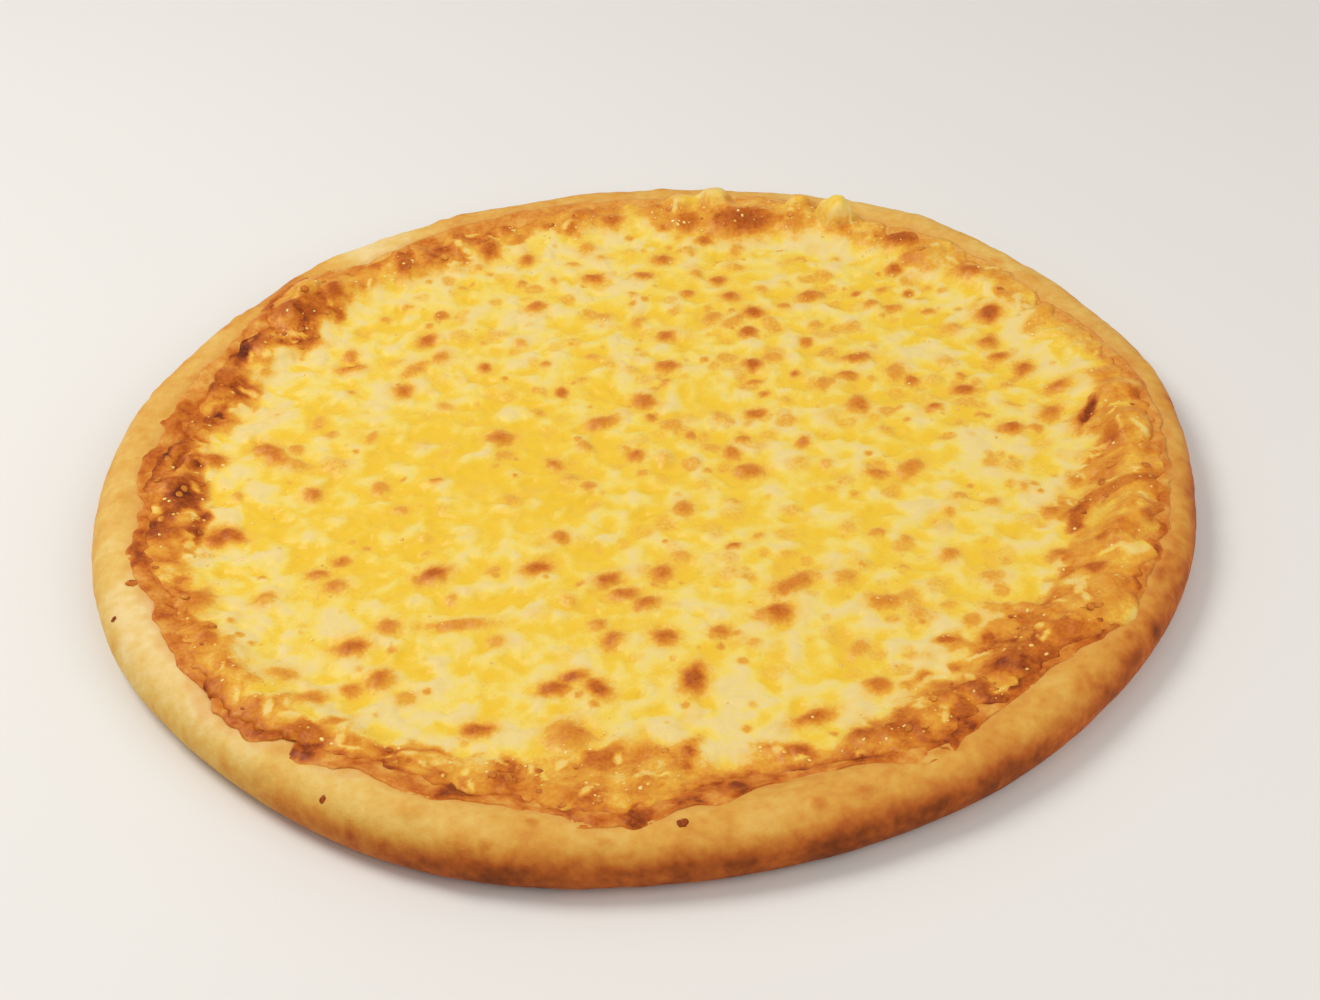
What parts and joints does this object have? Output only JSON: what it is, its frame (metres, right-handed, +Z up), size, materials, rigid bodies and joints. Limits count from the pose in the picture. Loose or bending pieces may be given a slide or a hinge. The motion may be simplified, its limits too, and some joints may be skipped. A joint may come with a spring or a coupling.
{
  "type": "pan pizza",
  "caption": "Whole round cheese pizza with a puffed bread rim, tomato sauce showing at the margin and melted cheese browned in spots and lumps.",
  "frame": {"origin": "middle of the underside, at the centre of the box round the outline", "axes": "+Z up through the pizza's thickness; -Y is the side nearest to the eater in the view from the front"},
  "size_m": [0.357, 0.3542, 0.0255],
  "materials": {
    "baked_dough": "dry baked crust, matt, lightly mottled",
    "tomato_sauce": "thick cooked sauce, moist",
    "melted_cheese": "melted cheese, oily, browned in spots"
  },
  "bodies": {
    "root": {"dough": "baked_dough", "sauce": "tomato_sauce", "cheese": "melted_cheese"}
  },
  "joints": []
}
